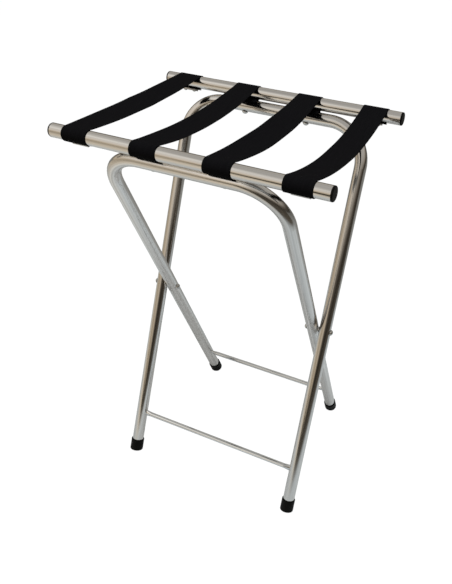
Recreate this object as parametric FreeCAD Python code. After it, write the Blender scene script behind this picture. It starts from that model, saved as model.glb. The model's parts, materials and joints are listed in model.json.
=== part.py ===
"""Folding luggage rack: two bent-tube leg frames crossing on one pivot line, two top rails, four webbing straps.

Millimetres. X runs along the rails, Y from the front rail to the rear rail, Z up from the floor.
The origin is on the floor, at the middle of the open rack.
The outer frame carries the rear rail and stands on the front feet. The inner frame does the reverse.
"""

import FreeCAD, Part
import math
import os
from FreeCAD import Vector

# ---- Driving sizes: tube work -------------------------------------------------------------------
TUBE_OD = 25.0              # legs and rails are one tube size
TUBE_WALL = 1.2
RAIL_LENGTH = 520.0         # over both end caps
RAIL_SPACING = 355.0        # between the two rail axes, rack open
RAIL_HEIGHT = 790.0         # rail axes above the floor, rack open
FOOT_SPACING = 336.0        # between the front and the rear foot lines on the floor
RAIL_OVERHANG = 62.0        # rail end beyond the outer leg's axis
LEG_GAP = 2.0               # between an inner leg and the outer leg beside it
BEND_RADIUS = 78.0          # centreline of the frame's two corners
STRETCHER_HEIGHT = 92.0     # stretcher axes above the floor
STRETCHER_OD = 10.0
STRETCHER_WALL = 1.0
STRETCHER_INSERTION = 5.0   # how far a stretcher's end passes a leg's inner surface
STRETCHER_PRESS_LENGTH = 14.0   # over which its round tube is pressed oval, up to the leg
STRETCHER_PRESSED_TALL = 13.6   # height of the oval, along the leg
STRETCHER_PRESSED_THIN = 5.6

# ---- Driving sizes: webbing ---------------------------------------------------------------------
STRAP_WIDTH = 50.0
STRAP_THICKNESS = 1.5
STRAP_SAGS = (7.0, 16.0, 17.0, 26.0)   # drop of each strap's middle below the rail tops, left to right
STRAP_END_MARGIN = 30.0     # from the rail's end to the outer strap's edge
HEM_BACK = 4.0              # doubled strap end, beyond the screw line on the outer side
HEM_TAIL_SCREWED = 12.0     # the same on the inner side, where the frame's bridge clamps it
HEM_TAIL_CLAMPED = 4.0      # the same, where a clamp bar holds it

# ---- Driving sizes: plastic and fasteners -------------------------------------------------------
CAP_FLANGE = 3.5
CAP_PLUG_LENGTH = 16.0
CAP_PLUG_WALL = 1.6
CAP_RIB_HEIGHT = 0.5
CAP_RIB_WIDTH = 1.5
FOOT_WALL = 2.0
FOOT_HEIGHT = 27.0
FOOT_FLOOR = 4.0
FOOT_FLAT_DEPTH = 2.5       # how much the floor takes off the tilted foot's lower corner
PIVOT_RADIUS = 3.0
PIVOT_HEAD_RADIUS = 6.0
PIVOT_HEAD_HEIGHT = 5.0
FRAME_SCREW_RADIUS = 2.5
FRAME_SCREW_HEAD_RADIUS = 6.0
FRAME_SCREW_HEAD_HEIGHT = 5.0
INSERT_RADIUS = 4.0
INSERT_LENGTH = 11.0
CLAMP_LENGTH = 33.0
CLAMP_WIDTH = 11.0
CLAMP_THICKNESS = 3.0
CLAMP_EDGE_ROUND = 1.0      # along the bar's two lower edges
CLAMP_SCREW_RADIUS = 1.9
CLAMP_SCREW_HEAD_RADIUS = 3.4
CLAMP_SCREW_HEAD_HEIGHT = 2.2
CLAMP_SCREW_OFFSET = 10.5   # each side of the clamp's middle
CLAMP_SCREW_TIP = 5.0       # past the rail's wall

# ---- Clearances ---------------------------------------------------------------------------------
PIVOT_RUNNING = 0.05        # radial, bolt in the inner leg that turns on it
SIDE_CLEARANCE = 0.3        # along the pivot, between a turning leg and its neighbours
SCREW_CLEARANCE = 0.3       # radial, screw through tube or webbing
SPAN_START = 3.0            # strap span starts this far past its tangent point on the rail
SPAN_MEETING_GAP = 0.3      # between the two halves of a strap at the middle

# ---- Derived ------------------------------------------------------------------------------------
TUBE_R = TUBE_OD / 2
BORE_R = TUBE_R - TUBE_WALL
OUTER_HALF_WIDTH = RAIL_LENGTH / 2 - RAIL_OVERHANG
INNER_HALF_WIDTH = OUTER_HALF_WIDTH - TUBE_OD - LEG_GAP
FRAME_REACH = (RAIL_SPACING + FOOT_SPACING) / 2      # how far a frame leans over, floor to rail
LEAN = math.atan2(FRAME_REACH, RAIL_HEIGHT)
LEG_RUN = math.hypot(FRAME_REACH, RAIL_HEIGHT)       # floor to rail axis, along the leg
BRIDGE_RUN = LEG_RUN - TUBE_OD - 2 * STRAP_THICKNESS  # the frame's cross tube, one doubled strap below
STRETCHER_RUN = STRETCHER_HEIGHT / math.cos(LEAN)
PIVOT_RUN = LEG_RUN * FOOT_SPACING / (RAIL_SPACING + FOOT_SPACING)
STRAP_PITCH = (RAIL_LENGTH - 2 * STRAP_END_MARGIN - STRAP_WIDTH) / 3
STRAP_CENTRES = [STRAP_PITCH * step for step in (-1.5, -0.5, 0.5, 1.5)]
SCREWED_STRAPS = STRAP_CENTRES[1:3]
CLAMPED_STRAPS = (STRAP_CENTRES[0], STRAP_CENTRES[3])
HEM_THICKNESS = 2 * STRAP_THICKNESS
FOOT_R = TUBE_R + FOOT_WALL
FOOT_END_RUN = FOOT_R * math.tan(LEAN) - FOOT_FLAT_DEPTH / math.cos(LEAN)
LEG_END_RUN = FOOT_END_RUN + FOOT_FLOOR
CLAMP_SEAT = TUBE_R + HEM_THICKNESS                  # rail axis to the clamp bar's upper face

X_AXIS = Vector(1, 0, 0)
Z_AXIS = Vector(0, 0, 1)
DOWN = Vector(0, 0, -1)
OUTER, INNER = 1, -1        # which way a frame's top leans: outer to the rear (+Y), inner to the front
FRAME_NAMES = {OUTER: "outer", INNER: "inner"}
RAIL_NAMES = {OUTER: "rear", INNER: "front"}
FOOT_NAMES = {OUTER: "front", INNER: "rear"}
HALF_WIDTHS = {OUTER: OUTER_HALF_WIDTH, INNER: INNER_HALF_WIDTH}
SIDES = {"left": -1, "right": 1}
STRAP_NAMES = ("left", "mid_left", "mid_right", "right")


# ---- Shape helpers ------------------------------------------------------------------------------
def rod(radius, length, base, direction):
    return Part.makeCylinder(radius, length, base, direction)


def cross_rod(radius, x_from, x_to, run):
    """Cylinder along X, in the upright drawing plane of a frame."""
    return rod(radius, x_to - x_from, Vector(x_from, 0, run), X_AXIS)


def oval(x, tall, thin):
    """Upright oval outline across X at the stretcher's height; both sizes are half sizes."""
    centre = Vector(x, 0, STRETCHER_RUN)
    outline = Part.Ellipse(centre + Z_AXIS * tall, centre + Vector(0, thin, 0), centre)
    return Part.Wire([outline.toShape()])


def lean_over(shape, top_side):
    """Tips a shape from the upright drawing plane (Z along the legs) to where its frame stands."""
    placed = shape.copy()
    placed.rotate(Vector(0, 0, 0), X_AXIS, -top_side * math.degrees(LEAN))
    placed.translate(Vector(0, -top_side * FOOT_SPACING / 2, 0))
    return placed


def dome(base_radius, height, base, direction):
    """Low dome head: a cap cut from a sphere, on a short straight rim."""
    rim = height * 0.25
    rise = height - rim
    sphere_r = (base_radius ** 2 + rise ** 2) / (2 * rise)
    centre = base + direction * (height - sphere_r)
    ball = Part.makeSphere(sphere_r, centre)
    block = rod(base_radius, height, base, direction)
    return block.common(ball)


def group(solids):
    return Part.makeCompound(solids)


def polar(radius, degrees, centre_y=0.0, centre_z=0.0):
    """Point of the YZ plane; 0 degrees is +Y and 90 degrees is up."""
    angle = math.radians(degrees)
    return Vector(0, centre_y + radius * math.cos(angle), centre_z + radius * math.sin(angle))


def ring_sector(r_in, r_out, start, end, centre_y, centre_z, x_from, width):
    """Slab that follows a circle about an X line, from one angle to another."""
    middle = (start + end) / 2
    outside = Part.Arc(polar(r_out, start, centre_y, centre_z), polar(r_out, middle, centre_y, centre_z),
                       polar(r_out, end, centre_y, centre_z)).toShape()
    inside = Part.Arc(polar(r_in, end, centre_y, centre_z), polar(r_in, middle, centre_y, centre_z),
                      polar(r_in, start, centre_y, centre_z)).toShape()
    ends = [Part.makeLine(polar(r_out, end, centre_y, centre_z), polar(r_in, end, centre_y, centre_z)),
            Part.makeLine(polar(r_in, start, centre_y, centre_z), polar(r_out, start, centre_y, centre_z))]
    face = Part.Face(Part.Wire([outside, ends[0], inside, ends[1]]))
    slab = face.extrude(Vector(width, 0, 0))
    slab.translate(Vector(x_from, 0, 0))
    return slab


def to_frame_side(shape, top_side):
    """Shapes of the rear rail's surroundings serve the front rail mirrored in the middle plane."""
    return shape if top_side == OUTER else shape.mirror(Vector(0, 0, 0), Vector(0, 1, 0))


# ---- Leg frames ---------------------------------------------------------------------------------
def tube_ring(centre, normal):
    """Flat ring, the tube's cross-section."""
    outside = Part.Face(Part.Wire([Part.makeCircle(TUBE_R, centre, normal)]))
    return outside.cut(Part.Face(Part.Wire([Part.makeCircle(BORE_R, centre, normal)])))


def bent_tube(half_width):
    """Inverted U in the upright plane: two legs, two quarter bends, and the bridge between them."""
    shoulder = BRIDGE_RUN - BEND_RADIUS
    inset = half_width - BEND_RADIUS
    pieces = [tube_ring(Vector(-inset, 0, BRIDGE_RUN), X_AXIS).extrude(Vector(2 * inset, 0, 0))]
    for side in SIDES.values():
        leg_end = tube_ring(Vector(side * half_width, 0, LEG_END_RUN), Z_AXIS)
        pieces.append(leg_end.extrude(Vector(0, 0, shoulder - LEG_END_RUN)))
        bend_start = tube_ring(Vector(side * half_width, 0, shoulder), Z_AXIS)
        pieces.append(bend_start.revolve(Vector(side * inset, 0, shoulder), Vector(0, -side, 0), 90))
    return pieces[0].multiFuse(pieces[1:])


def bridge_drop(half_width, x):
    """How far the frame's cross tube lies below its straight middle at x, once the corner begins."""
    past = max(0.0, abs(x) - (half_width - BEND_RADIUS))
    return BEND_RADIUS - math.sqrt(BEND_RADIUS ** 2 - past ** 2)


def leg_frame(top_side):
    half_width = HALF_WIDTHS[top_side]
    tube = bent_tube(half_width)
    pivot_r = PIVOT_RADIUS + (PIVOT_RUNNING if top_side == INNER else 0.0)
    tube = tube.cut(cross_rod(pivot_r, -half_width - TUBE_OD, half_width + TUBE_OD, PIVOT_RUN))
    hole = Part.Face(oval(-half_width, STRETCHER_PRESSED_TALL / 2, STRETCHER_PRESSED_THIN / 2))
    tube = tube.cut(hole.extrude(Vector(2 * half_width, 0, 0)))
    for x in SCREWED_STRAPS:
        base = Vector(x, 0, BRIDGE_RUN - TUBE_OD)
        tube = tube.cut(rod(FRAME_SCREW_RADIUS + SCREW_CLEARANCE, 2 * TUBE_OD, base, Z_AXIS))
    return lean_over(tube, top_side)


def pressed_rod(radius, tall, thin, leg_face):
    """Round rod along X that goes over into an upright oval before each leg and passes into it."""
    round_end = leg_face - STRETCHER_PRESS_LENGTH
    end = leg_face + STRETCHER_INSERTION
    outlines = [oval(-end, tall, thin), oval(-leg_face, tall, thin),
                oval(-round_end, radius * 1.0005, radius), oval(round_end, radius * 1.0005, radius),
                oval(leg_face, tall, thin), oval(end, tall, thin)]
    return Part.makeLoft(outlines, True, True)


def stretcher(top_side):
    leg_face = HALF_WIDTHS[top_side] - TUBE_R
    tall, thin = STRETCHER_PRESSED_TALL / 2, STRETCHER_PRESSED_THIN / 2
    outside = pressed_rod(STRETCHER_OD / 2, tall, thin, leg_face)
    bore = pressed_rod(STRETCHER_OD / 2 - STRETCHER_WALL, tall - STRETCHER_WALL, thin - STRETCHER_WALL, leg_face)
    return lean_over(outside.cut(bore), top_side)


def foot(top_side, side):
    """Ferrule on the leg's end. The floor takes a flat off its lower corner."""
    x = side * HALF_WIDTHS[top_side]
    body = rod(FOOT_R, FOOT_HEIGHT, Vector(x, 0, FOOT_END_RUN), Z_AXIS)
    rims = [edge for edge in body.Edges if edge.Curve.TypeId == "Part::GeomCircle"]
    body = body.makeFillet(FOOT_WALL * 0.6, rims)
    body = body.cut(rod(TUBE_R, FOOT_HEIGHT, Vector(x, 0, LEG_END_RUN), Z_AXIS))
    placed = lean_over(body, top_side)
    reach = 4 * FOOT_R
    floor = Part.makeBox(2 * reach, 2 * reach, reach,
                         Vector(x - reach, -top_side * FOOT_SPACING / 2 - reach, -reach))
    return placed.cut(floor)


# ---- Rails --------------------------------------------------------------------------------------
def rail(top_side):
    end = RAIL_LENGTH / 2 - CAP_FLANGE
    tube = cross_rod(TUBE_R, -end, end, LEG_RUN).cut(cross_rod(BORE_R, -end, end, LEG_RUN))
    under = LEG_RUN - TUBE_OD
    for x in SCREWED_STRAPS:
        tube = tube.cut(rod(INSERT_RADIUS, TUBE_OD, Vector(x, 0, under), Z_AXIS))
    for x in clamp_screw_places():
        tube = tube.cut(rod(CLAMP_SCREW_RADIUS, TUBE_OD, Vector(x, 0, under), Z_AXIS))
    return lean_over(tube, top_side)


def rail_cap(top_side, side):
    """Flanged plug: the flange covers the tube's end, two ribs grip its bore."""
    flange_x = side * (RAIL_LENGTH / 2 - CAP_FLANGE)
    outward = Vector(side, 0, 0)
    inward = Vector(-side, 0, 0)
    centre = Vector(flange_x, 0, LEG_RUN)
    flange = rod(TUBE_R, CAP_FLANGE, centre, outward)
    outer_face = RAIL_LENGTH / 2
    rims = [edge for edge in flange.Edges
            if edge.Curve.TypeId == "Part::GeomCircle" and abs(abs(edge.Curve.Center.x) - outer_face) < 0.01]
    flange = flange.makeFillet(CAP_FLANGE * 0.5, rims)
    plug = rod(BORE_R - CAP_RIB_HEIGHT, CAP_PLUG_LENGTH, centre, inward)
    for share in (0.25, 0.75):
        rib_base = centre + inward * (CAP_PLUG_LENGTH * share - CAP_RIB_WIDTH / 2)
        plug = plug.fuse(rod(BORE_R, CAP_RIB_WIDTH, rib_base, inward))
    hollow = rod(BORE_R - CAP_RIB_HEIGHT - CAP_PLUG_WALL, CAP_PLUG_LENGTH, centre, inward)
    return lean_over(flange.fuse(plug.cut(hollow)).removeSplitter(), top_side)


def clamp_screw_places():
    return [x + offset for x in CLAMPED_STRAPS for offset in (-CLAMP_SCREW_OFFSET, CLAMP_SCREW_OFFSET)]


def clamp_bar(top_side, x):
    """Steel bar that holds the doubled strap end up against the rail."""
    top = LEG_RUN - CLAMP_SEAT
    under = top - CLAMP_THICKNESS
    bar = Part.makeBox(CLAMP_LENGTH, CLAMP_WIDTH, CLAMP_THICKNESS,
                       Vector(x - CLAMP_LENGTH / 2, -CLAMP_WIDTH / 2, under))
    long_lower_edges = [edge for edge in bar.Edges
                        if edge.BoundBox.XLength > CLAMP_LENGTH / 2 and edge.BoundBox.ZMax < under + 0.01]
    bar = bar.makeFillet(CLAMP_EDGE_ROUND, long_lower_edges)
    for offset in (-CLAMP_SCREW_OFFSET, CLAMP_SCREW_OFFSET):
        hole = rod(CLAMP_SCREW_RADIUS, 3 * CLAMP_THICKNESS,
                   Vector(x + offset, 0, top - 2 * CLAMP_THICKNESS), Z_AXIS)
        bar = bar.cut(hole)
    return lean_over(bar, top_side)


def clamp_screws(top_side):
    seat = LEG_RUN - CLAMP_SEAT - CLAMP_THICKNESS
    shank_length = CLAMP_THICKNESS + HEM_THICKNESS + TUBE_WALL + CLAMP_SCREW_TIP
    screws = []
    for x in clamp_screw_places():
        base = Vector(x, 0, seat)
        shank = rod(CLAMP_SCREW_RADIUS, shank_length, base, Z_AXIS)
        head = dome(CLAMP_SCREW_HEAD_RADIUS, CLAMP_SCREW_HEAD_HEIGHT, base, DOWN)
        screws.append(lean_over(shank.fuse(head), top_side))
    return group(screws)


def frame_screws(top_side):
    """Dome-head screws: up through the bridge and the doubled strap, into the rail's inserts."""
    screws = []
    for x in SCREWED_STRAPS:
        seat = BRIDGE_RUN - TUBE_R - bridge_drop(HALF_WIDTHS[top_side], x)
        base = Vector(x, 0, seat)
        tip = LEG_RUN - BORE_R + INSERT_LENGTH - TUBE_WALL
        shank = rod(FRAME_SCREW_RADIUS, tip - seat, base, Z_AXIS)
        head = dome(FRAME_SCREW_HEAD_RADIUS, FRAME_SCREW_HEAD_HEIGHT, base, DOWN)
        screws.append(lean_over(shank.fuse(head), top_side))
    return group(screws)


def rail_inserts(top_side):
    """Threaded inserts set in the rail's lower wall."""
    inserts = []
    for x in SCREWED_STRAPS:
        base = Vector(x, 0, LEG_RUN - BORE_R - TUBE_WALL)
        body = rod(INSERT_RADIUS, INSERT_LENGTH, base, Z_AXIS)
        outside_rail = rod(INSERT_RADIUS, INSERT_LENGTH, base, Z_AXIS).cut(
            cross_rod(TUBE_R, x - TUBE_OD, x + TUBE_OD, LEG_RUN))
        bore = rod(FRAME_SCREW_RADIUS, INSERT_LENGTH, base, Z_AXIS)
        inserts.append(lean_over(body.cut(outside_rail).cut(bore), top_side))
    return group(inserts)


# ---- Pivots -------------------------------------------------------------------------------------
def pivot_place():
    """Where the two frames' leg axes cross, seen from the side: the middle plane, by symmetry."""
    return Vector(0, PIVOT_RUN * math.sin(LEAN) - FOOT_SPACING / 2, PIVOT_RUN * math.cos(LEAN))


def on_pivot(radius, side, near, far):
    """Cylinder on the pivot line between two distances from the middle."""
    place = pivot_place()
    base = Vector(side * near, place.y, place.z)
    return rod(radius, far - near, base, Vector(side, 0, 0))


def pivot_bolt(side):
    head_seat = OUTER_HALF_WIDTH + TUBE_R
    tip = INNER_HALF_WIDTH - TUBE_R - SIDE_CLEARANCE
    place = pivot_place()
    head = dome(PIVOT_HEAD_RADIUS, PIVOT_HEAD_HEIGHT, Vector(side * head_seat, place.y, place.z),
                Vector(side, 0, 0))
    return on_pivot(PIVOT_RADIUS, side, tip - PIVOT_HEAD_HEIGHT / 2, head_seat).fuse(head)


def pivot_cap_nut(side):
    """Domed nut on the bolt's end, just clear of the inner leg that turns beside it."""
    face = INNER_HALF_WIDTH - TUBE_R - SIDE_CLEARANCE
    place = pivot_place()
    head = dome(PIVOT_HEAD_RADIUS, PIVOT_HEAD_HEIGHT, Vector(side * face, place.y, place.z), Vector(-side, 0, 0))
    return head.cut(on_pivot(PIVOT_RADIUS, side, face - PIVOT_HEAD_HEIGHT / 2, face))


def pivot_washer(side):
    near = INNER_HALF_WIDTH + TUBE_R + SIDE_CLEARANCE
    far = OUTER_HALF_WIDTH - TUBE_R
    return on_pivot(PIVOT_HEAD_RADIUS, side, near, far).cut(on_pivot(PIVOT_RADIUS, side, near, far))


# ---- Straps -------------------------------------------------------------------------------------
def sag_circle(sag):
    """Circle of a strap's lower face: it touches both rails from above and dips by sag between them.

    Returns its radius, its centre's height, and the angle at a rail between straight up and the touch.
    """
    half = RAIL_SPACING / 2
    centre_distance = (half ** 2 + sag ** 2) / (2 * sag)
    radius = centre_distance - TUBE_R
    centre_z = RAIL_HEIGHT + centre_distance - sag
    touch = math.degrees(math.atan2(half, centre_z - RAIL_HEIGHT))
    return radius, centre_z, touch


def strap_loop(top_side, x, sag, tail):
    """Strap end: over the rail, down its outer side, under it, and doubled where it is held."""
    touch = sag_circle(sag)[2]
    rear_y = RAIL_SPACING / 2
    held_at = -90 - math.degrees(LEAN)
    x_from = x - STRAP_WIDTH / 2
    wrap = ring_sector(TUBE_R, TUBE_R + STRAP_THICKNESS, held_at, 90 + touch,
                       rear_y, RAIL_HEIGHT, x_from, STRAP_WIDTH)
    hem = Part.makeBox(STRAP_WIDTH, HEM_BACK + tail, HEM_THICKNESS,
                       Vector(x_from, -tail, LEG_RUN - TUBE_R - HEM_THICKNESS))
    loop = wrap.fuse(lean_over(hem, OUTER))
    if x in SCREWED_STRAPS:
        holes = [rod(FRAME_SCREW_RADIUS, TUBE_OD, Vector(x, 0, LEG_RUN - TUBE_OD), Z_AXIS)]
    else:
        holes = [rod(CLAMP_SCREW_RADIUS, TUBE_OD, Vector(x + offset, 0, LEG_RUN - TUBE_OD), Z_AXIS)
                 for offset in (-CLAMP_SCREW_OFFSET, CLAMP_SCREW_OFFSET)]
    for hole in holes:
        loop = loop.cut(lean_over(hole, OUTER))
    return to_frame_side(loop, top_side)


def strap_span(top_side, x, sag):
    """Half of a strap's hanging stretch, from near its rail to the middle."""
    radius, centre_z, touch = sag_circle(sag)
    start = -90 + touch - math.degrees(SPAN_START / radius)
    end = -90 + math.degrees(SPAN_MEETING_GAP / 2 / radius)
    span = ring_sector(radius - STRAP_THICKNESS, radius, end, start, 0, centre_z,
                       x - STRAP_WIDTH / 2, STRAP_WIDTH)
    return to_frame_side(span, top_side)


# ---- The whole rack -----------------------------------------------------------------------------
def all_nodes():
    nodes = {}
    for top_side in (OUTER, INNER):
        frame_name = FRAME_NAMES[top_side]
        rail_name = RAIL_NAMES[top_side]
        foot_name = FOOT_NAMES[top_side]
        nodes[frame_name + "_leg_frame"] = leg_frame(top_side)
        nodes[foot_name + "_stretcher"] = stretcher(top_side)
        nodes[rail_name + "_rail"] = rail(top_side)
        nodes[rail_name + "_rail_inserts"] = rail_inserts(top_side)
        nodes[rail_name + "_rail_screws"] = frame_screws(top_side)
        nodes[rail_name + "_clamp_screws"] = clamp_screws(top_side)
        for side_name, side in SIDES.items():
            nodes[foot_name + "_" + side_name + "_foot"] = foot(top_side, side)
            nodes[rail_name + "_" + side_name + "_rail_cap"] = rail_cap(top_side, side)
            x = CLAMPED_STRAPS[0] if side < 0 else CLAMPED_STRAPS[1]
            nodes[rail_name + "_" + side_name + "_strap_clamp"] = clamp_bar(top_side, x)
        for strap_name, x, sag in zip(STRAP_NAMES, STRAP_CENTRES, STRAP_SAGS):
            tail = HEM_TAIL_SCREWED if x in SCREWED_STRAPS else HEM_TAIL_CLAMPED
            nodes["strap_" + strap_name + "_" + rail_name + "_loop"] = strap_loop(top_side, x, sag, tail)
            nodes["strap_" + strap_name + "_" + rail_name + "_span"] = strap_span(top_side, x, sag)
    for side_name, side in SIDES.items():
        nodes["pivot_bolt_" + side_name] = pivot_bolt(side)
        nodes["pivot_cap_nut_" + side_name] = pivot_cap_nut(side)
        nodes["pivot_washer_" + side_name] = pivot_washer(side)
    return nodes


os.makedirs("parts", exist_ok=True)
for node_name, node_shape in all_nodes().items():
    node_shape.exportStep("parts/" + node_name + ".step")
    print(node_name, "solids", len(node_shape.Solids), "valid", node_shape.isValid(),
          "volume", round(node_shape.Volume, 1))
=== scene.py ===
# %% [markdown]
# # A tall folding luggage rack
#
# The real rack is two U-shaped chrome tubes that cross on one pivot line, a straight chrome rail
# on top of each, and four black webbing straps slung between the rails. The tube work, the feet,
# the caps and the screws arrive as finished CAD parts, so they keep their shape here and get
# their surface. The straps are cloth, so they are made here.

# %% Load the CAD frame
import json
import math

import bmesh
import bpy
from mathutils import Matrix, Vector


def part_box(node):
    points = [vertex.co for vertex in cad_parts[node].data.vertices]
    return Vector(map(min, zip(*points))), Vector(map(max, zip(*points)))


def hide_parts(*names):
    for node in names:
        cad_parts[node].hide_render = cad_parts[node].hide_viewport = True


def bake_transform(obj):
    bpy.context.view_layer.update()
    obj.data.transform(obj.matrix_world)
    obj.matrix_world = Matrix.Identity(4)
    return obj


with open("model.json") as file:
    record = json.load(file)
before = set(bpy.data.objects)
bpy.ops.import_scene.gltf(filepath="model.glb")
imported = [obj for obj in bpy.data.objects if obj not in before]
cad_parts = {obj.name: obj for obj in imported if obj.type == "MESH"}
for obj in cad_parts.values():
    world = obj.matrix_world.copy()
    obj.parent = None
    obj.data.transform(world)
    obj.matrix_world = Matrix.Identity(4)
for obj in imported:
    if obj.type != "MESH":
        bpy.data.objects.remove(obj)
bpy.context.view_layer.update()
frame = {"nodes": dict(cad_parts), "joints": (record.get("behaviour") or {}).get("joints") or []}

scene = bpy.context.scene
nodes_by_name = frame["nodes"]
print("CAD parts", len(nodes_by_name))

# %% [markdown]
# ## Where things are
#
# Every size below is measured from the CAD parts, so the cloth follows if the frame changes.
# The rails give the height and the spacing, and the strap loops give where each strap sits.

# %% Measure the rails
rail_low, rail_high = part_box("rear_rail")
TUBE_RADIUS = (rail_high.z - rail_low.z) / 2
RAIL_HEIGHT = (rail_high.z + rail_low.z) / 2
RAIL_OFFSET = (rail_high.y + rail_low.y) / 2
print("rail radius", round(TUBE_RADIUS, 4), "height", round(RAIL_HEIGHT, 4))
print("rail offset from the middle", round(RAIL_OFFSET, 4))

# %% The lean of the leg frames
PIVOT = Vector(frame["joints"][0]["pos_m"])
LEAN = math.atan2(RAIL_OFFSET, RAIL_HEIGHT - PIVOT.z)
print("frames lean", round(math.degrees(LEAN), 2), "degrees")

# %% The bent legs
# A leg frame's bridge lies under its rail, with a doubled strap end squeezed between the two.
STRAP_THICKNESS = 0.0015
BEND_RADIUS = 0.078
pivot_to_rail = math.hypot(RAIL_OFFSET, RAIL_HEIGHT - PIVOT.z)
BRIDGE_HEIGHT = PIVOT.z + pivot_to_rail - 2 * TUBE_RADIUS - 2 * STRAP_THICKNESS
print("bridge stands", round(BRIDGE_HEIGHT - PIVOT.z, 4), "m up the leg from the pivot")

# %% [markdown]
# ## Camera, floor and light
#
# Chrome has almost no colour of its own: what is seen on it is the room. So the room is designed
# first. A ready-made studio panorama would do, but two colour ramps are easier to steer: each stop
# lands on one streak of a tube. One side of the room is a warm, bright window. The other is nearly
# black at the horizon, which puts the long dark streaks on the tubes that make them look like
# metal. A pale floor lights the undersides.

# %% Camera
CAMERA_PLACE = Vector((0.5305, -0.9522, 1.1956))
CAMERA_AZIMUTH = math.radians(22.382)
CAMERA_TILT = math.radians(34.018)
CAMERA_ROLL = math.radians(2.571)
SENSOR_WIDTH = 36
FOCAL_LENGTH = 38.54
LENS_SHIFT = (-0.1277, -0.0256)


def camera_axes(azimuth, tilt, roll):
    """Right, up and backward directions of a camera that looks along +Y at azimuth 0."""
    forward = Vector((-math.sin(azimuth) * math.cos(tilt),
                      math.cos(azimuth) * math.cos(tilt),
                      -math.sin(tilt)))
    level_right = Vector((math.cos(azimuth), math.sin(azimuth), 0))
    level_up = level_right.cross(forward)
    right = level_right * math.cos(roll) + level_up * math.sin(roll)
    up = level_up * math.cos(roll) - level_right * math.sin(roll)
    return right, up, -forward


def place_camera():
    """Stands the camera in its place and makes it the scene's own."""
    data = bpy.data.cameras.new("camera")
    data.sensor_width = SENSOR_WIDTH
    data.lens = FOCAL_LENGTH
    data.shift_x, data.shift_y = LENS_SHIFT
    camera = bpy.data.objects.new("camera", data)
    scene.collection.objects.link(camera)
    turned = Matrix(camera_axes(CAMERA_AZIMUTH, CAMERA_TILT, CAMERA_ROLL)).transposed()
    camera.matrix_world = Matrix.Translation(CAMERA_PLACE) @ turned.to_4x4()
    scene.camera = camera


place_camera()
print("camera at", [round(value, 3) for value in CAMERA_PLACE])


# %% Node helpers
def add_node(tree, kind, **settings):
    """Adds a node and sets its properties; a key of the form in_NAME sets that input's value."""
    node = tree.nodes.new(kind)
    for key, value in settings.items():
        if key.startswith("in_"):
            node.inputs[key[3:].replace("_", " ")].default_value = value
        else:
            setattr(node, key, value)
    return node


def feed(tree, value, socket):
    """Links value to the input if it is an output socket, and otherwise sets it."""
    if hasattr(value, "is_output"):
        tree.links.new(value, socket)
    else:
        socket.default_value = value


def do_math(tree, operation, first, second=None):
    """One Math node; each operand is a number or an output socket."""
    node = add_node(tree, "ShaderNodeMath", operation=operation)
    feed(tree, first, node.inputs[0])
    if second is not None:
        feed(tree, second, node.inputs[1])
    return node.outputs[0]


def spread(tree, value, low, high, kind="LINEAR"):
    """0 up to low and 1 from high on, in between straight or, as SMOOTHSTEP, eased."""
    node = add_node(tree, "ShaderNodeMapRange", interpolation_type=kind)
    feed(tree, low, node.inputs["From Min"])
    feed(tree, high, node.inputs["From Max"])
    feed(tree, value, node.inputs["Value"])
    return node.outputs[0]


def measure(tree, operation, place, vector):
    """The number that a Vector Math node makes from a place and a fixed vector."""
    node = add_node(tree, "ShaderNodeVectorMath", operation=operation)
    feed(tree, place, node.inputs[0])
    feed(tree, vector, node.inputs[1])
    return node.outputs["Value"]


def blend_colours(tree, share, first, second):
    """Runs from the first colour to the second as share goes from 0 to 1."""
    node = add_node(tree, "ShaderNodeMix", data_type="RGBA")
    feed(tree, share, node.inputs["Factor"])
    for label, colour in (("A", first), ("B", second)):
        feed(tree, colour + (1,) if isinstance(colour, tuple) else colour, node.inputs[label])
    return node.outputs["Result"]


def mix_shaders(tree, share, first, second):
    """Runs from the first shader to the second as share goes from 0 to 1."""
    node = add_node(tree, "ShaderNodeMixShader")
    feed(tree, share, node.inputs["Fac"])
    feed(tree, first, node.inputs[1])
    feed(tree, second, node.inputs[2])
    return node.outputs[0]


print("node helpers ready")


# %% Room light
# Each stop is a height, as the sine of the angle above the horizon, and a colour.
# The lit side of the room: warm low down, then the glow of the big soft window high on the left.
WINDOW_SIDE = [
    (0.00, (0.54, 0.44, 0.31)),
    (0.025, (0.50, 0.41, 0.29)),
    (0.05, (0.60, 0.50, 0.37)),
    (0.12, (0.64, 0.54, 0.41)),
    (0.25, (0.78, 0.69, 0.57)),
    (0.42, (0.90, 0.82, 0.72)),
    (0.55, (0.90, 0.84, 0.76)),
    (0.63, (1.08, 1.04, 0.96)),
    (0.67, (0.98, 0.94, 0.86)),
    (0.71, (1.10, 1.06, 0.98)),
    (0.77, (0.96, 0.92, 0.84)),
    (0.80, (0.98, 0.94, 0.88)),
    (0.85, (0.72, 0.69, 0.64)),
    (0.89, (0.78, 0.75, 0.69)),
    (1.00, (0.54, 0.52, 0.49))]
# The far side: almost black at the horizon, a dull ceiling above.
DARK_SIDE = [
    (0.00, (0.034, 0.028, 0.021)),
    (0.10, (0.060, 0.050, 0.038)),
    (0.19, (0.12, 0.10, 0.08)),
    (0.30, (0.34, 0.30, 0.25)),
    (0.55, (0.56, 0.53, 0.48)),
    (0.80, (0.50, 0.48, 0.44)),
    (1.00, (0.54, 0.52, 0.49))]
WINDOW_DIRECTION = (-0.82, -0.57, 0.0)
# How squarely a direction has to face the window to see the first and the last of its light.
WINDOW_EDGES = (0.30, 0.80)
BACKDROP_STRENGTH = 1.02
print("room light stops: window side", len(WINDOW_SIDE), "dark side", len(DARK_SIDE))


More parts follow.
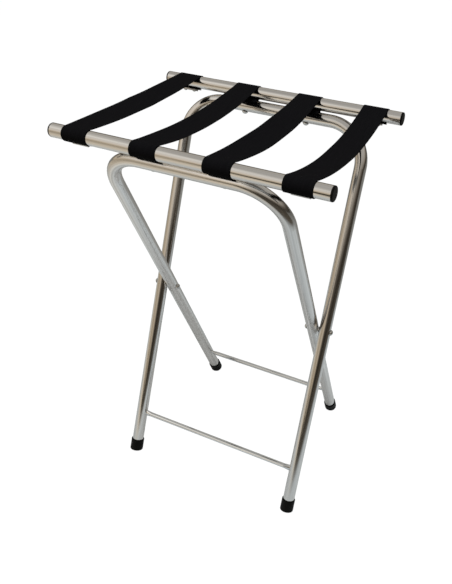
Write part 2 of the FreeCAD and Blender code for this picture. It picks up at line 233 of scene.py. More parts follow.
# %% Room
def fill_ramp(ramp, stops):
    """Gives a colour ramp the stops of one side of the room."""
    elements = ramp.color_ramp.elements
    while len(elements) > 1:
        elements.remove(elements[-1])
    elements[0].position = stops[0][0]
    elements[0].color = stops[0][1] + (1,)
    for position, colour in stops[1:]:
        elements.new(position).color = colour + (1,)


def make_room():
    """Metal sees the two sides of the room. The camera sees plain white."""
    world = bpy.data.worlds.new("studio")
    scene.world = world
    world.use_nodes = True
    tree = world.node_tree
    tree.nodes.clear()
    direction = add_node(tree, "ShaderNodeTexCoord").outputs["Generated"]
    split = add_node(tree, "ShaderNodeSeparateXYZ")
    tree.links.new(direction, split.inputs[0])
    sides = []
    for stops in (DARK_SIDE, WINDOW_SIDE):
        ramp = add_node(tree, "ShaderNodeValToRGB")
        tree.links.new(split.outputs["Z"], ramp.inputs["Fac"])
        fill_ramp(ramp, stops)
        sides.append(ramp.outputs["Color"])
    facing = measure(tree, "DOT_PRODUCT", direction, WINDOW_DIRECTION)
    towards_window = spread(tree, facing, *WINDOW_EDGES, kind="SMOOTHSTEP")
    shine = add_node(tree, "ShaderNodeBackground", in_Strength=1.0)
    tree.links.new(blend_colours(tree, towards_window, *sides), shine.inputs["Color"])
    plain = add_node(tree, "ShaderNodeBackground", in_Color=(1, 1, 1, 1), in_Strength=BACKDROP_STRENGTH)
    path = add_node(tree, "ShaderNodeLightPath")
    seen = mix_shaders(tree, path.outputs["Is Camera Ray"], shine.outputs[0], plain.outputs[0])
    output = add_node(tree, "ShaderNodeOutputWorld")
    tree.links.new(seen, output.inputs["Surface"])


make_room()
scene.view_settings.view_transform = "Standard"
print("room made")

# %% Floor tones, with painted light and shade
# The paper that the metal mirrors, with light and shade painted into its tone: a warm pool of
# painted light towards the front left, and painted shade far off to the right front and behind.
# Each patch lies over the one before it: its tone, the way it lies from the middle, and how many
# metres out it begins and is full.
FLOOR_COOL = (0.60, 0.66, 0.70)
PAINTED_FLOOR_LIGHT_PATCHES = [
    ((0.92, 0.83, 0.69), (-0.55, -0.83, 0), 0.0, 1.8),
    ((0.085, 0.075, 0.06), (0.83, -0.56, 0), 0.40, 1.15),
    ((0.36, 0.37, 0.37), (0, 1, 0), 0.25, 0.85)]
# The shaded round patch under the rack: its tone, its middle, and where it starts and stops fading.
SHADE_TONE = (0.58, 0.61, 0.63)
SHADE_MIDDLE = (-0.06, 0.03, 0)
SHADE_FADES = (0.12, 0.48)
FLOOR_HALF_WIDTH = 20.0
# To the camera, nearly all of the floor is washed out to white.
WASH_STRENGTH = 1.10
WASH_SHARE = 0.90
print("patches on the floor's paper", len(PAINTED_FLOOR_LIGHT_PATCHES) + 1)


# %% Floor
def paper_with_painted_light(tree):
    """The paper's tone at each place, with pools of painted light and painted shade laid over it."""
    place = add_node(tree, "ShaderNodeTexCoord").outputs["Object"]
    tone = FLOOR_COOL
    # Each patch paints light or shade onto the paper's tone.
    for painted_tone, heading, begins, full in PAINTED_FLOOR_LIGHT_PATCHES:
        along = measure(tree, "DOT_PRODUCT", place, heading)
        cover = spread(tree, along, begins, full, kind="SMOOTHSTEP")
        tone = blend_colours(tree, cover, tone, painted_tone)
    # Painted shade: the paper darkens round the middle, under the rack.
    away = measure(tree, "DISTANCE", place, SHADE_MIDDLE)
    clear = spread(tree, away, *SHADE_FADES, kind="SMOOTHSTEP")
    return blend_colours(tree, clear, SHADE_TONE, tone)


def make_floor():
    """A pale sweep of paper. The camera sees it washed out to white; the metal sees it lit, with its
    painted light and shade.
    """
    mesh = bpy.data.meshes.new("floor")
    half = FLOOR_HALF_WIDTH
    corners = [(-half, -half, 0), (half, -half, 0), (half, half, 0), (-half, half, 0)]
    mesh.from_pydata(corners, [], [(0, 1, 2, 3)])
    floor = bpy.data.objects.new("floor", mesh)
    scene.collection.objects.link(floor)
    material = bpy.data.materials.new("floor_paper")
    material.use_nodes = True
    tree = material.node_tree
    shader = tree.nodes["Principled BSDF"]
    shader.inputs["Roughness"].default_value = 0.9
    shader.inputs["Specular IOR Level"].default_value = 0.1
    tree.links.new(paper_with_painted_light(tree), shader.inputs["Base Color"])
    white = add_node(tree, "ShaderNodeEmission", in_Strength=WASH_STRENGTH)
    path = add_node(tree, "ShaderNodeLightPath")
    wash = do_math(tree, "MULTIPLY", path.outputs["Is Camera Ray"], WASH_SHARE)
    seen = mix_shaders(tree, wash, shader.outputs[0], white.outputs[0])
    tree.links.new(seen, tree.nodes["Material Output"].inputs["Surface"])
    mesh.materials.append(material)


make_floor()
print("floor made")


# %% Lamp
LAMP_PLACE = Vector((0.5, -0.6, 3.2))
LAMP_TARGET = Vector((0, 0, 0.4))
LAMP_WIDTH = 1.2
LAMP_WATTS = 62


def hang_lamp():
    """A square of soft light overhead."""
    data = bpy.data.lights.new("overhead", "AREA")
    data.shape = "SQUARE"
    data.size = LAMP_WIDTH
    data.energy = LAMP_WATTS
    lamp = bpy.data.objects.new("overhead", data)
    scene.collection.objects.link(lamp)
    lamp.location = LAMP_PLACE
    lamp.rotation_euler = (LAMP_TARGET - LAMP_PLACE).to_track_quat("-Z", "Y").to_euler()
    # Chrome mirrors the room and not the lamp: a mirrored lamp turns fine marks into white dots.
    lamp.visible_glossy = False


hang_lamp()
print("lamp", round(LAMP_PLACE.z, 2), "m up")

# %% [markdown]
# ## Chrome
#
# Plated tube is drawn before it is plated, so it carries faint marks along its length. They are
# too fine to count, but they stretch every highlight. They could be carved into the mesh, at the
# price of millions of faces, so a bump in the material does it. The marks, and the haze that hands
# leave on plate, are two small node groups that each metal uses in its own strength. A third group
# unrolls the bent tube first, so that the marks turn round the bends with the steel.


# %% Group: where a point sits on a bent leg frame
def new_group(name, inputs, outputs):
    """An empty shader group with named sockets: (name, kind, default) in, (name, kind) out."""
    tree = bpy.data.node_groups.new(name, "ShaderNodeTree")
    for label, kind, default in inputs:
        socket = tree.interface.new_socket(name=label, in_out="INPUT", socket_type=kind)
        if default is not None:
            socket.default_value = default
    for label, kind in outputs:
        tree.interface.new_socket(name=label, in_out="OUTPUT", socket_type=kind)
    return tree, tree.nodes.new("NodeGroupInput"), tree.nodes.new("NodeGroupOutput")


def make_bent_tube_place():
    """Unrolls a U-shaped tube: across the tube in X and Y, along it in Z, through both bends."""
    tree, entry, result = new_group("bent_tube_place", [
        ("Lean", "NodeSocketFloat", 0.4),
        ("Corner X", "NodeSocketFloat", 0.12),
        ("Corner Z", "NodeSocketFloat", 0.7)],
        [("Place", "NodeSocketVector")])
    place = add_node(tree, "ShaderNodeTexCoord")
    turn = add_node(tree, "ShaderNodeVectorRotate", rotation_type="X_AXIS")
    turn.inputs["Center"].default_value = (0, 0, PIVOT.z)
    tree.links.new(place.outputs["Object"], turn.inputs["Vector"])
    tree.links.new(entry.outputs["Lean"], turn.inputs["Angle"])
    split = add_node(tree, "ShaderNodeSeparateXYZ")
    tree.links.new(turn.outputs[0], split.inputs[0])
    from_middle = do_math(tree, "ABSOLUTE", split.outputs["X"])
    sideways = do_math(tree, "SUBTRACT", from_middle, entry.outputs["Corner X"])
    upward = do_math(tree, "SUBTRACT", split.outputs["Z"], entry.outputs["Corner Z"])
    sideways = do_math(tree, "MAXIMUM", sideways, 0.0)
    upward = do_math(tree, "MAXIMUM", upward, 0.0)
    square = do_math(tree, "ADD", do_math(tree, "MULTIPLY", sideways, sideways),
                     do_math(tree, "MULTIPLY", upward, upward))
    join = add_node(tree, "ShaderNodeCombineXYZ")
    tree.links.new(do_math(tree, "SQRT", square), join.inputs["X"])
    tree.links.new(split.outputs["Y"], join.inputs["Y"])
    tree.links.new(do_math(tree, "ADD", split.outputs["X"], split.outputs["Z"]), join.inputs["Z"])
    tree.links.new(join.outputs[0], result.inputs["Place"])
    return tree


bent_tube_place = make_bent_tube_place()
print("group", bent_tube_place.name)


# %% Group: drawn tube marks
# A noise texture seldom leaves this middle range, so it is stretched to run from 0 to 1.
NOISE_RANGE = (0.33, 0.67)


def make_drawn_marks():
    """Long faint streaks: noise that is fine across the tube and stretched along it."""
    tree, entry, result = new_group("drawn_marks", [
        ("Place", "NodeSocketVector", None),
        ("Streaks Per Metre", "NodeSocketFloat", 700.0),
        ("Stretch", "NodeSocketFloat", 0.006)],
        [("Fine", "NodeSocketFloat"), ("Broad", "NodeSocketFloat")])
    scale = add_node(tree, "ShaderNodeCombineXYZ")
    tree.links.new(entry.outputs["Streaks Per Metre"], scale.inputs["X"])
    tree.links.new(entry.outputs["Streaks Per Metre"], scale.inputs["Y"])
    along = do_math(tree, "MULTIPLY", entry.outputs["Streaks Per Metre"], entry.outputs["Stretch"])
    tree.links.new(along, scale.inputs["Z"])
    stretch = add_node(tree, "ShaderNodeVectorMath", operation="MULTIPLY")
    tree.links.new(entry.outputs["Place"], stretch.inputs[0])
    tree.links.new(scale.outputs[0], stretch.inputs[1])
    fine = add_node(tree, "ShaderNodeTexNoise", in_Scale=1.0, in_Detail=2.0, in_Roughness=0.6)
    broad = add_node(tree, "ShaderNodeTexNoise", in_Scale=0.28, in_Detail=1.0, in_Roughness=0.5)
    for noise, label in ((fine, "Fine"), (broad, "Broad")):
        tree.links.new(stretch.outputs[0], noise.inputs["Vector"])
        full_range = spread(tree, noise.outputs["Fac"], *NOISE_RANGE)
        tree.links.new(full_range, result.inputs[label])
    return tree


drawn_marks = make_drawn_marks()
print("group", drawn_marks.name)


# %% Group: handling haze
# Which part of the noise counts: a wide range fades softly, a narrow one cuts out single specks.
HAZE_RANGE = (0.35, 0.75)
SPECK_RANGE = (0.66, 0.74)


def make_handling_haze():
    """Broad soft patches, as fingers and cloths leave on plate, and fine specks of dust."""
    tree, entry, result = new_group("handling_haze", [
        ("Patch Scale", "NodeSocketFloat", 14.0),
        ("Speck Scale", "NodeSocketFloat", 900.0)],
        [("Haze", "NodeSocketFloat"), ("Specks", "NodeSocketFloat")])
    place = add_node(tree, "ShaderNodeTexCoord")
    patch = add_node(tree, "ShaderNodeTexNoise", in_Detail=4.0, in_Roughness=0.55)
    tree.links.new(place.outputs["Object"], patch.inputs["Vector"])
    tree.links.new(entry.outputs["Patch Scale"], patch.inputs["Scale"])
    speck = add_node(tree, "ShaderNodeTexNoise", in_Detail=1.0)
    tree.links.new(place.outputs["Object"], speck.inputs["Vector"])
    tree.links.new(entry.outputs["Speck Scale"], speck.inputs["Scale"])
    tree.links.new(spread(tree, patch.outputs["Fac"], *HAZE_RANGE), result.inputs["Haze"])
    tree.links.new(spread(tree, speck.outputs["Fac"], *SPECK_RANGE), result.inputs["Specks"])
    return tree


handling_haze = make_handling_haze()
print("group", handling_haze.name)


# %% Material helpers
def new_material(name):
    """An empty material, its node tree and its Principled shader."""
    material = bpy.data.materials.new(name)
    material.use_nodes = True
    tree = material.node_tree
    return material, tree, tree.nodes["Principled BSDF"]


def use_group(tree, group, **values):
    """Places a node group in a material, with this material's own values."""
    node = tree.nodes.new("ShaderNodeGroup")
    node.node_tree = group
    for label, value in values.items():
        node.inputs[label.replace("_", " ")].default_value = value
    return node


def tube_place_for(tree, kind):
    """The socket that carries across, across and along positions for each kind of tube."""
    if kind in ("outer_leg", "inner_leg"):
        lean = LEAN if kind == "outer_leg" else -LEAN
        half_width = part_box(kind + "_frame")[1].x - TUBE_RADIUS
        node = use_group(tree, bent_tube_place, Lean=lean,
                         Corner_X=half_width - BEND_RADIUS, Corner_Z=BRIDGE_HEIGHT - BEND_RADIUS)
        return node.outputs["Place"]
    place = add_node(tree, "ShaderNodeTexCoord")
    if kind == "upright":
        return place.outputs["Object"]
    swap = add_node(tree, "ShaderNodeSeparateXYZ")
    tree.links.new(place.outputs["Object"], swap.inputs[0])
    join = add_node(tree, "ShaderNodeCombineXYZ")
    tree.links.new(swap.outputs["Z"], join.inputs["X"])
    tree.links.new(swap.outputs["Y"], join.inputs["Y"])
    tree.links.new(swap.outputs["X"], join.inputs["Z"])
    return join.outputs[0]


print("material helpers ready")


# %% Plated steel
# How much rougher a drawn mark is than the plate round it.
MARK_ROUGHNESS = 0.03
# How much deeper the broad marks are than the fine ones.
BROAD_MARK_DEPTH = 3.0


def make_plate(name, kind, colour, roughness, metallic=1.0, haze_depth=0.10,
               bump_depth=0.000008, contrast=0.07, streaks=1000.0):
    """Plated steel whose marks follow the tube; contrast is how far its tone wanders each way."""
    material, tree, shader = new_material(name)
    shader.inputs["Metallic"].default_value = metallic
    marks = use_group(tree, drawn_marks, Streaks_Per_Metre=streaks)
    tree.links.new(tube_place_for(tree, kind), marks.inputs["Place"])
    haze = use_group(tree, handling_haze, Patch_Scale=14.0, Speck_Scale=900.0)
    streak = do_math(tree, "MULTIPLY", marks.outputs["Fine"], MARK_ROUGHNESS)
    dull = do_math(tree, "MULTIPLY", haze.outputs["Haze"], haze_depth)
    rough = do_math(tree, "ADD", do_math(tree, "ADD", streak, dull), roughness)
    tree.links.new(rough, shader.inputs["Roughness"])
    dark = tuple(value * (1 - contrast) for value in colour)
    bright = tuple(min(1.0, value * (1 + contrast)) for value in colour)
    tone = blend_colours(tree, marks.outputs["Broad"], dark, bright)
    tree.links.new(tone, shader.inputs["Base Color"])
    broad = do_math(tree, "MULTIPLY", marks.outputs["Broad"], BROAD_MARK_DEPTH)
    bump = add_node(tree, "ShaderNodeBump", in_Strength=1.0, in_Distance=bump_depth)
    tree.links.new(do_math(tree, "ADD", marks.outputs["Fine"], broad), bump.inputs["Height"])
    tree.links.new(bump.outputs[0], shader.inputs["Normal"])
    return material


# %% The rack's metals
CHROME = (0.62, 0.61, 0.60)
INNER_CHROME = (0.65, 0.64, 0.63)
ROD_CHROME = (0.70, 0.72, 0.74)
CLAMP_ZINC = (0.50, 0.50, 0.49)
SCREW_ZINC = (0.55, 0.55, 0.54)
rail_chrome = make_plate("rail_chrome", "rail", CHROME, roughness=0.03, haze_depth=0.06)
stretcher_chrome = make_plate("stretcher_chrome", "rail", ROD_CHROME, roughness=0.03,
                              haze_depth=0.03, contrast=0.30, streaks=1400.0)
outer_leg_chrome = make_plate("outer_leg_chrome", "outer_leg", CHROME, roughness=0.07)
inner_leg_chrome = make_plate("inner_leg_chrome", "inner_leg", INNER_CHROME, roughness=0.12,
                              bump_depth=0.000012, contrast=0.16)
clamp_zinc = make_plate("clamp_zinc", "rail", CLAMP_ZINC, roughness=0.34, metallic=0.7)
fastener_zinc = make_plate("fastener_zinc", "upright", SCREW_ZINC, roughness=0.10, haze_depth=0.08)
print("metals made")

# %% [markdown]
# ## Moulded plastic
#
# Caps and feet come out of a spark-eroded mould, which leaves a fine even grain. It could be
# painted as a texture, which blurs up close, so noise makes it instead. The grain breaks up the
# highlight, and specks of dust settle in it, so black plastic is never quite black.


# %% Black plastic
PLASTIC_CLEAN = (0.0015, 0.0015, 0.0015)
PLASTIC_DUSTY = (0.012, 0.0115, 0.011)
PLASTIC_ROUGHNESS = 0.42
# How much of the dusty tone, and of extra roughness, the specks and the haze each bring.
SPECK_DUST = 0.6
HAZE_DUST = 0.3
HAZE_ROUGHNESS = 0.14


def make_black_plastic():
    """Moulded black with a fine grain, lightly dusted."""
    material, tree, shader = new_material("black_plastic_grain")
    haze = use_group(tree, handling_haze, Patch_Scale=40.0, Speck_Scale=1400.0)
    place = add_node(tree, "ShaderNodeTexCoord")
    grain = add_node(tree, "ShaderNodeTexNoise", in_Scale=1500.0, in_Detail=2.0)
    tree.links.new(place.outputs["Object"], grain.inputs["Vector"])
    speck_dust = do_math(tree, "MULTIPLY", haze.outputs["Specks"], SPECK_DUST)
    haze_dust = do_math(tree, "MULTIPLY", haze.outputs["Haze"], HAZE_DUST)
    dust = do_math(tree, "ADD", speck_dust, haze_dust)
    tone = blend_colours(tree, dust, PLASTIC_CLEAN, PLASTIC_DUSTY)
    tree.links.new(tone, shader.inputs["Base Color"])
    dull = do_math(tree, "MULTIPLY", haze.outputs["Haze"], HAZE_ROUGHNESS)
    tree.links.new(do_math(tree, "ADD", dull, PLASTIC_ROUGHNESS), shader.inputs["Roughness"])
    shader.inputs["Specular IOR Level"].default_value = 0.08
    bump = add_node(tree, "ShaderNodeBump", in_Strength=0.25, in_Distance=0.00012)
    tree.links.new(grain.outputs["Fac"], bump.inputs["Height"])
    tree.links.new(bump.outputs[0], shader.inputs["Normal"])
    return material


black_plastic = make_black_plastic()
print("plastic made")

# %% [markdown]
# ## Dressing the CAD parts
#
# Every CAD part gets the surface that its maker would give it: decorative chrome on the tubes,
# plain zinc on the screws and clamp bars, and moulded black on the caps and feet. The part's own
# name says which, so nothing has to be picked by hand.

# %% Give the CAD parts their surfaces
def material_for(node_name):
    """The finish that a part's name calls for."""
    if node_name.endswith("_foot") or node_name.endswith("_rail_cap"):
        return black_plastic
    if node_name in ("front_rail", "rear_rail"):
        return rail_chrome
    if node_name in ("front_stretcher", "rear_stretcher"):
        return stretcher_chrome
    if node_name == "outer_leg_frame":
        return outer_leg_chrome
    if node_name == "inner_leg_frame":
        return inner_leg_chrome
    if node_name.endswith("_strap_clamp"):
        return clamp_zinc
    return fastener_zinc


dressed = [node_name for node_name in nodes_by_name if not node_name.startswith("strap_")]
for node_name in dressed:
    finishes = nodes_by_name[node_name].data.materials
    finishes.clear()
    finishes.append(material_for(node_name))
print("surfaces set on", len(dressed), "parts")

# %% [markdown]
# ## Webbing
#
# Webbing is woven flat on a narrow loom: thick warp yarns run its length, and a thin weft
# crosses them. Up close it is rows of little ribs; from a step away it is a flat, dull black.
# Modelling each yarn would take more faces than the rest of the rack. The weave is a node group
# instead, driven by the strap's own UV map, which is in metres, so a yarn has its real width on
# every strap.


# %% Group: webbing weave
# How far each rib sinks where a weft thread crosses it, as a share of its height.
WEFT_DIP = 0.6
# A yarn keeps its shade for about twenty crossings.
SLUB_SHORTENING = 0.05


def make_webbing_weave():
    """Ribs along the strap that dip under the weft, and a shade that differs from yarn to yarn."""
    tree, entry, result = new_group("webbing_weave", [
        ("Warp Yarns Per Metre", "NodeSocketFloat", 900.0),
        ("Picks Per Metre", "NodeSocketFloat", 700.0)],
        [("Height", "NodeSocketFloat"), ("Shade", "NodeSocketFloat")])
    place = add_node(tree, "ShaderNodeUVMap", uv_map="strap_metres")
    split = add_node(tree, "ShaderNodeSeparateXYZ")
    tree.links.new(place.outputs[0], split.inputs[0])
    across = do_math(tree, "MULTIPLY", split.outputs["X"], entry.outputs["Warp Yarns Per Metre"])
    along = do_math(tree, "MULTIPLY", split.outputs["Y"], entry.outputs["Picks Per Metre"])
    across_cell = do_math(tree, "FLOOR", across)
    shifted = do_math(tree, "ADD", along, do_math(tree, "MULTIPLY", across_cell, 0.5))
    warp = do_math(tree, "ABSOLUTE", do_math(tree, "SINE", do_math(tree, "MULTIPLY", across, math.pi)))
    weft = do_math(tree, "ABSOLUTE", do_math(tree, "SINE", do_math(tree, "MULTIPLY", shifted, math.pi)))
    rounded = do_math(tree, "POWER", warp, 0.5)
    dip = do_math(tree, "ADD", do_math(tree, "MULTIPLY", weft, WEFT_DIP), 1 - WEFT_DIP)
    tree.links.new(do_math(tree, "MULTIPLY", rounded, dip), result.inputs["Height"])
    slub = add_node(tree, "ShaderNodeTexNoise", in_Scale=1.0, in_Detail=2.0)
    stretch = add_node(tree, "ShaderNodeCombineXYZ")
    tree.links.new(across, stretch.inputs["X"])
    tree.links.new(do_math(tree, "MULTIPLY", along, SLUB_SHORTENING), stretch.inputs["Y"])
    tree.links.new(stretch.outputs[0], slub.inputs["Vector"])
    tree.links.new(slub.outputs["Fac"], result.inputs["Shade"])
    return tree


webbing_weave = make_webbing_weave()
print("group", webbing_weave.name)


# %% Black webbing
# The hollow colour is painted shade between the ribs; the rib colour is the webbing's own.
WEBBING_HOLLOW_PAINTED_SHADE = (0.0022, 0.0022, 0.0027)
WEBBING_RIB = (0.0085, 0.0085, 0.0100)


def make_webbing():
    """Dull black ribs, with shade painted darker into the hollows between them; the tone that differs
    from yarn to yarn is the webbing's own.
    """
    material, tree, shader = new_material("black_webbing_weave")
    weave = use_group(tree, webbing_weave)
    # Rib height paints shade into the hollows; the yarn shade is the webbing's own tone.
    rise = do_math(tree, "MULTIPLY", weave.outputs["Height"], weave.outputs["Shade"])
    tree.links.new(blend_colours(tree, rise, WEBBING_HOLLOW_PAINTED_SHADE, WEBBING_RIB), shader.inputs["Base Color"])
    shader.inputs["Roughness"].default_value = 0.85
    shader.inputs["Specular IOR Level"].default_value = 0.022
    bump = add_node(tree, "ShaderNodeBump", in_Strength=0.7, in_Distance=0.0003)
    tree.links.new(weave.outputs["Height"], bump.inputs["Height"])
    tree.links.new(bump.outputs[0], shader.inputs["Normal"])
    return material


black_webbing = make_webbing()
print("webbing made")

# %% [markdown]
# ## The straps
#
# One strap is one flat length of webbing. From its hidden end it lies doubled under the rail, folds
# back at the tail, hugs the rail round the outside and over the top, and hangs to the middle.
# A cloth simulation could drop it there, but it would stretch the webbing, and the fold at the
# tail is too tight for it. So a path is walked as a string of straights and arcs, which keeps the
# true length of the cloth, and the width is laid across it. Each strap is made as two halves,
# because each half has to swing with its own rail when the rack shuts.

# %% Strap sizes
STRAP_NAMES = ("left", "mid_left", "mid_right", "right")


def strap_place(name):
    """(centre x, width, middle drop) of a strap, from its CAD solids."""
    low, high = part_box("strap_" + name + "_rear_loop")
    span_low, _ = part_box("strap_" + name + "_rear_span")
    return (low.x + high.x) / 2, high.x - low.x, RAIL_HEIGHT + TUBE_RADIUS - span_low.z


STRAPS = {name: strap_place(name) for name in STRAP_NAMES}
for name, facts in STRAPS.items():
    print("strap", name, [round(value, 4) for value in facts])

# %% How each strap lies
# How much less, or more, a strap's left and right edges drop than its middle line.
EDGE_SLACK = {"left": 0.004, "mid_left": 0.0025, "mid_right": 0.005, "right": 0.0005}
# The hidden end reaches this far past the rail's underside, outwards and then inwards.
HEM_BACK = 0.004
TAIL = {"left": 0.0035, "mid_left": 0.0125, "mid_right": 0.0125, "right": 0.0035}
# Screwed between rail and bridge, these two have the longer tails, which droop over the bridge.
DROOPING = ("mid_left", "mid_right")
# The number of steps in each stretch of the walk.
HEM_STEPS = 3
STRAIGHT_TAIL_STEPS = 6
DROOPING_TAIL_STEPS = 10
FOLD_STEPS = 8
WRAP_STEPS = 44
SPAN_STEPS = 48
print("tails reach", [round(1000 * TAIL[name], 1) for name in STRAP_NAMES], "mm inwards")


# %% Walk along the cloth
class Walker:
    """Steps through a plane, keeping the place, the heading and the length walked."""

    def __init__(self, place, heading):
        self.place = Vector(place)
        self.heading = heading
        self.length = 0.0
        self.steps = [(self.place.copy(), self.heading, self.length)]

    def straight(self, distance, count):
        for _ in range(count):
            self.place += Vector((math.cos(self.heading), math.sin(self.heading))) * (distance / count)
            self.length += distance / count
            self.steps.append((self.place.copy(), self.heading, self.length))

    def arc(self, radius, turn, count):
        """Turns left by turn radians on a circle of that radius; a negative turn goes right."""
        for _ in range(count):
            step = turn / count
            chord = 2 * radius * math.sin(abs(step) / 2)
            self.heading += step / 2
            self.place += Vector((math.cos(self.heading), math.sin(self.heading))) * chord
            self.heading += step / 2
            self.length += radius * abs(step)
            self.steps.append((self.place.copy(), self.heading, self.length))


def span_circle(sag):
    """Radius of the strap's mid-thickness line, and the angle it turns between rail and middle."""
    to_centre = (RAIL_OFFSET ** 2 + sag ** 2) / (2 * sag)
    angle = math.atan2(RAIL_OFFSET, to_centre - sag)
    return to_centre - TUBE_RADIUS - STRAP_THICKNESS / 2, angle


def walk_strap(name, sag):
    """The path of one half, in (inward, up) from its rail's axis; inward is towards the middle."""
    first_layer = TUBE_RADIUS + STRAP_THICKNESS / 2
    second_layer = first_layer + STRAP_THICKNESS
    tail = TAIL[name]
    # The screws hold it straight down the leg frame's plane from the rail's axis.
    down = Vector((math.sin(LEAN), -math.cos(LEAN)))
    along = Vector((math.cos(LEAN), math.sin(LEAN)))
    walker = Walker(down * second_layer - along * HEM_BACK, LEAN)
    walker.straight(HEM_BACK, HEM_STEPS)
    fold = STRAP_THICKNESS / 2
    if name in DROOPING:
        turn = tail / first_layer
        walker.arc(first_layer, -turn, DROOPING_TAIL_STEPS)
        walker.arc(fold, math.pi, FOLD_STEPS)
        walker.arc(second_layer, turn, DROOPING_TAIL_STEPS)
    else:
        walker.straight(tail, STRAIGHT_TAIL_STEPS)
        walker.arc(fold, math.pi, FOLD_STEPS)
        walker.straight(tail, STRAIGHT_TAIL_STEPS)
    radius, touch = span_circle(sag)
    walker.arc(first_layer, -(math.pi + LEAN + touch), WRAP_STEPS)
    walker.arc(radius, touch, SPAN_STEPS)
    return walker.steps


sample_end, _, sample_length = walk_strap("mid_left", STRAPS["mid_left"][2])[-1]
print("half a strap is", round(sample_length, 4), "m of webbing, and ends at",
      [round(value, 4) for value in sample_end])


# %% Lay the width across the path
# Shares of the half width: even steps, with two close ones at each edge for the rounded selvedge.
EVEN_STEPS = [-0.9 + 0.15 * step for step in range(13)]
SHARES = [-1.0, -0.97] + EVEN_STEPS + [0.97, 1.0]
MIDDLE = len(SHARES) // 2
# The selvedge is half as thick as the strap.
SELVEDGE_SHARE = 0.5
# How far the edges wave up and down, and how far they curl up, at the middle of the span.
EDGE_WAVE = 0.0009
EDGE_CURL = 0.0012
# Where the curl crosses the strap's own level, as the square of its share of the half width.
LEVEL_SHARE = 0.35
# Each wave along the edge: radians per metre, how its phase runs against the first, its height.
WAVES = [(23, 1.0, 0.6), (51, 2.3, 0.25)]
# The waves reach from the middle this much of the way to the rail, and differ between straps.
WAVES_REACH = 0.93
PHASE_PER_STRAP = 1.7


def edge_ripple(name, share, y):
    """Small unevenness of the hanging stretch: nothing at the rails, most near the middle."""
    phase = STRAP_NAMES.index(name) * PHASE_PER_STRAP
    reach = max(0.0, 1 - (abs(y) / (RAIL_OFFSET * WAVES_REACH)) ** 2)
    wave = sum(math.sin(y * pace + lead * phase) * height for pace, lead, height in WAVES)
    curl = (share ** 2 - LEVEL_SHARE) * EDGE_CURL
    return reach * (wave * share * EDGE_WAVE + curl)


def lay_rows(mesh, name, rail_side):
    """Rows of points on the strap's upper and lower face, and the length walked at each row."""
    centre_x, width, drop = STRAPS[name]
    columns = [walk_strap(name, drop + EDGE_SLACK[name] * share) for share in SHARES]
    row_count = len(columns[0])
    upper, lower = [], []
    for row in range(row_count):
        upper.append([])
        lower.append([])
        for share, column in zip(SHARES, columns):
            place, heading, _ = column[row]
            normal = Vector((math.sin(heading), -math.cos(heading)))
            hanging = row >= row_count - SPAN_STEPS
            lift = edge_ripple(name, share, RAIL_OFFSET - place.x) if hanging else 0.0
            half_thick = STRAP_THICKNESS / 2 * (SELVEDGE_SHARE if abs(share) == 1 else 1.0)
            for face, sign in ((upper[-1], -1), (lower[-1], 1)):
                inward = place.x + normal.x * sign * half_thick
                height = place.y + normal.y * sign * half_thick + lift
                face.append(mesh.verts.new((centre_x + share * width / 2,
                                            rail_side * (RAIL_OFFSET - inward),
                                            RAIL_HEIGHT + height)))
    return upper, lower, [length for _, _, length in columns[MIDDLE]]


print("points across a strap", len(SHARES))


# %% Close the slab
def add_quad(mesh, corners, uvs):
    """One smooth face with its place on the flat cloth, in metres."""
    metres = mesh.loops.layers.uv["strap_metres"]
    face = mesh.faces.new(corners)
    face.smooth = True
    for loop, uv in zip(face.loops, uvs):
        loop[metres].uv = uv
    return face


def add_long_faces(mesh, upper, lower, across, along):
    """The upper face, the lower face and the two selvedges."""
    last = len(across) - 1
    for row in range(len(along) - 1):
        v0, v1 = along[row], along[row + 1]
        for column in range(last):
            u0, u1 = across[column], across[column + 1]
            for rows in (upper, lower):
                corners = (rows[row][column], rows[row][column + 1],
                           rows[row + 1][column + 1], rows[row + 1][column])
                add_quad(mesh, corners, ((u0, v0), (u1, v0), (u1, v1), (u0, v1)))
        for column in (0, last):
            u0, u1 = across[column], across[column] + STRAP_THICKNESS
            corners = (upper[row][column], lower[row][column],
                       lower[row + 1][column], upper[row + 1][column])
            add_quad(mesh, corners, ((u0, v0), (u1, v0), (u1, v1), (u0, v1)))


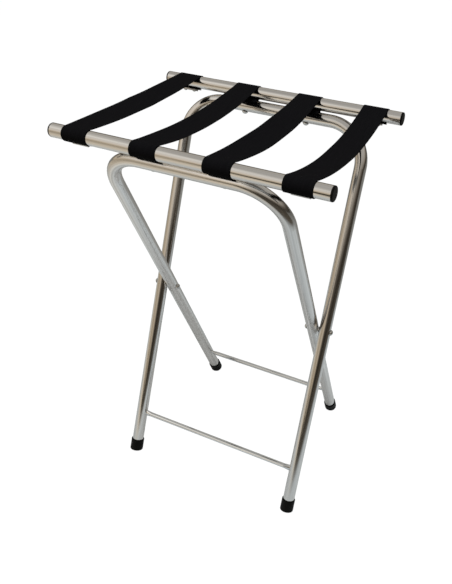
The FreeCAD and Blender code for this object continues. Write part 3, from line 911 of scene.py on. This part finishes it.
def add_end_faces(mesh, upper, lower, across, along):
    """The cut end under the rail and the seam at the middle, both with sharp edges."""
    for row in (0, len(along) - 1):
        v0, v1 = along[row], along[row] + STRAP_THICKNESS
        for column in range(len(across) - 1):
            u0, u1 = across[column], across[column + 1]
            corners = (upper[row][column], upper[row][column + 1],
                       lower[row][column + 1], lower[row][column])
            for edge in add_quad(mesh, corners, ((u0, v0), (u1, v0), (u1, v1), (u0, v1))).edges:
                edge.smooth = False


print("a strap's faces are laid in", len(SHARES) - 1, "columns")


# %% Make one half
# Which rail a half hangs from, the body that carries that rail, and the body that the half is on.
SIDES = {
    1: {"rail": "rear", "held_by": "outer_frame", "swings_with": "strap_rear_halves"},
    -1: {"rail": "front", "held_by": "inner_frame", "swings_with": "strap_front_halves"}}


def build_half(name, rail_side):
    """Closed slab of webbing from the hidden end to the middle. rail_side is 1 rear, -1 front."""
    mesh = bmesh.new()
    mesh.loops.layers.uv.new("strap_metres")
    upper, lower, lengths = lay_rows(mesh, name, rail_side)
    width = STRAPS[name][1]
    across = [share * width / 2 for share in SHARES]
    along = [rail_side * (lengths[-1] - length) for length in lengths]
    add_long_faces(mesh, upper, lower, across, along)
    add_end_faces(mesh, upper, lower, across, along)
    bmesh.ops.recalc_face_normals(mesh, faces=mesh.faces)
    data = bpy.data.meshes.new("strap_" + name + "_" + SIDES[rail_side]["rail"])
    mesh.to_mesh(data)
    mesh.free()
    data.materials.append(black_webbing)
    piece = bpy.data.objects.new(data.name, data)
    scene.collection.objects.link(piece)
    return piece, lengths[-1]


print("each strap has halves at the", [side["rail"] for side in SIDES.values()], "rail")


def hang_half(name, rail_side):
    """Makes one half, hides the CAD loop and span that it stands in for, bakes its placing into the
    mesh, and gives back its length.
    """
    piece, length = build_half(name, rail_side)
    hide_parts(piece.name + "_loop", piece.name + "_span")
    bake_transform(piece)
    return length


for strap_name in STRAP_NAMES:
    half_lengths = [hang_half(strap_name, rail_side) for rail_side in SIDES]
    print("strap", strap_name, "halves", [round(length, 4) for length in half_lengths], "m")
